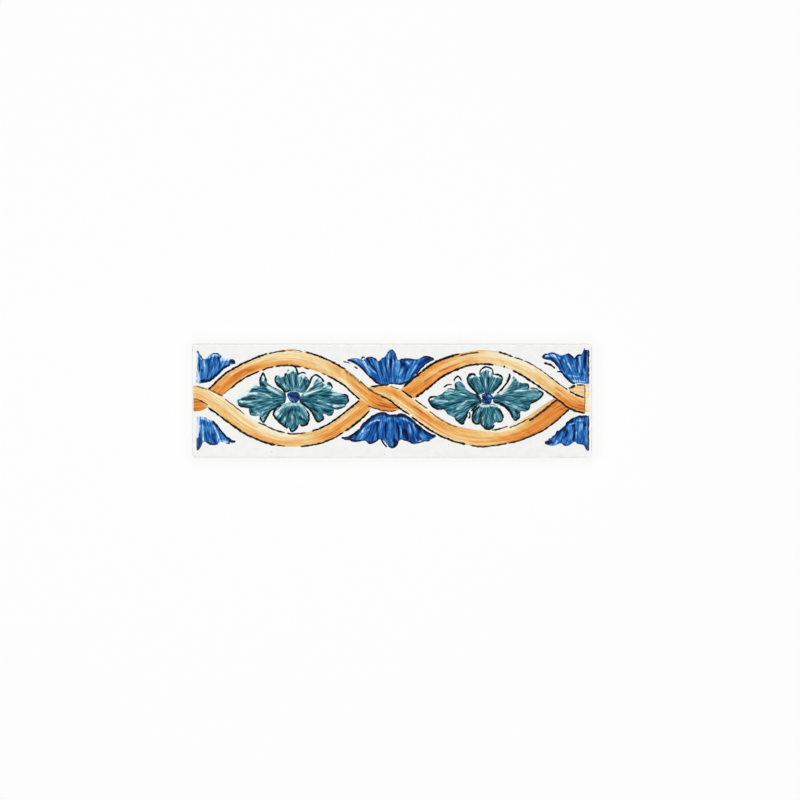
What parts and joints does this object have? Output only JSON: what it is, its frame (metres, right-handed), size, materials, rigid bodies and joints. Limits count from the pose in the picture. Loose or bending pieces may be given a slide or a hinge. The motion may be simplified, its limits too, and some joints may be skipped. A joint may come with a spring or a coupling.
{
  "type": "border tile",
  "caption": "Rectangular glazed ceramic border tile, hand painted with an interlaced band, leaf rosettes and palmettes, with a keyed back for bedding in adhesive.",
  "frame": {"origin": "centre of the back face, on the plane that the tile lies on", "axes": "+X along the strip, +Y across it towards the upper long edge, +Z out of the painted face"},
  "size_m": [0.2, 0.057, 0.008],
  "materials": {
    "white_glaze": "glossy tin-white glaze over the face and arris",
    "biscuit": "bare fired clay on the back and lower sides",
    "ochre_paint": "brushed ochre glaze paint, glossy",
    "teal_paint": "brushed copper-green glaze paint, glossy",
    "cobalt_paint": "brushed cobalt glaze paint, glossy",
    "outline_paint": "dark brush outline, glossy"
  },
  "bodies": {
    "root": {"border_tile": "white_glaze"}
  },
  "joints": []
}
